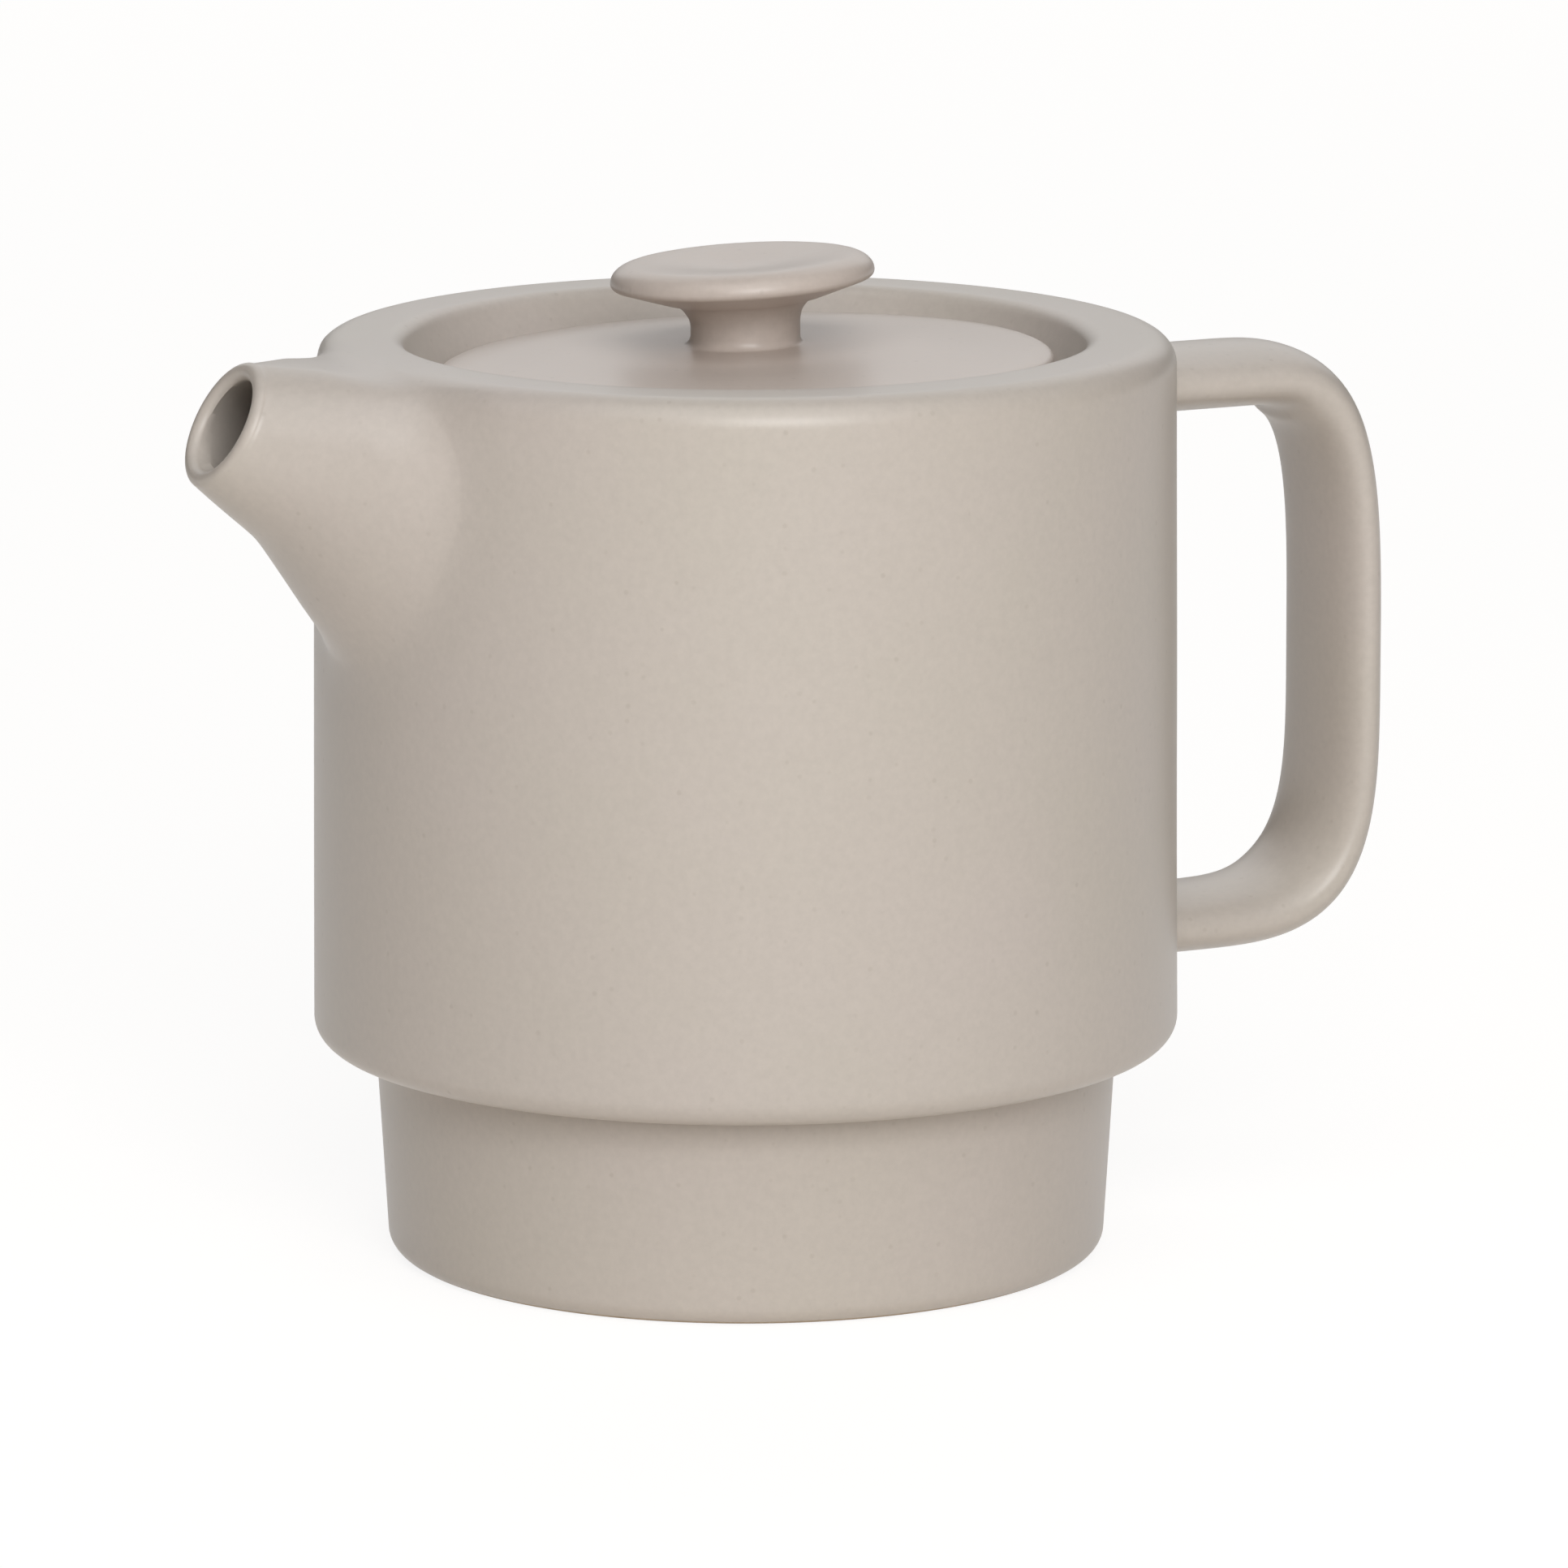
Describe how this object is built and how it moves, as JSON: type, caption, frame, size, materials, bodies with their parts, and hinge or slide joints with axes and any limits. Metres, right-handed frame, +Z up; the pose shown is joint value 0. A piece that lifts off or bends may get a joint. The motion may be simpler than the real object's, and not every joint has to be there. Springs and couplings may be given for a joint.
{
  "type": "teapot",
  "caption": "One-person stoneware teapot: straight drum on a narrower stepped foot, short beak spout flush with the rim, strap handle, and a loose recessed lid with a mushroom knob.",
  "frame": {"origin": "on the drum's axis, in the plane of the ring that the pot stands on", "axes": "+Z up along the drum's axis, spout towards -X, handle towards +X"},
  "size_m": [0.1557, 0.105, 0.122],
  "materials": {
    "stoneware": "fine-speckled greige satin-matte glaze over stoneware"
  },
  "bodies": {
    "root": {"pot": "stoneware", "lid": "stoneware"}
  },
  "joints": []
}
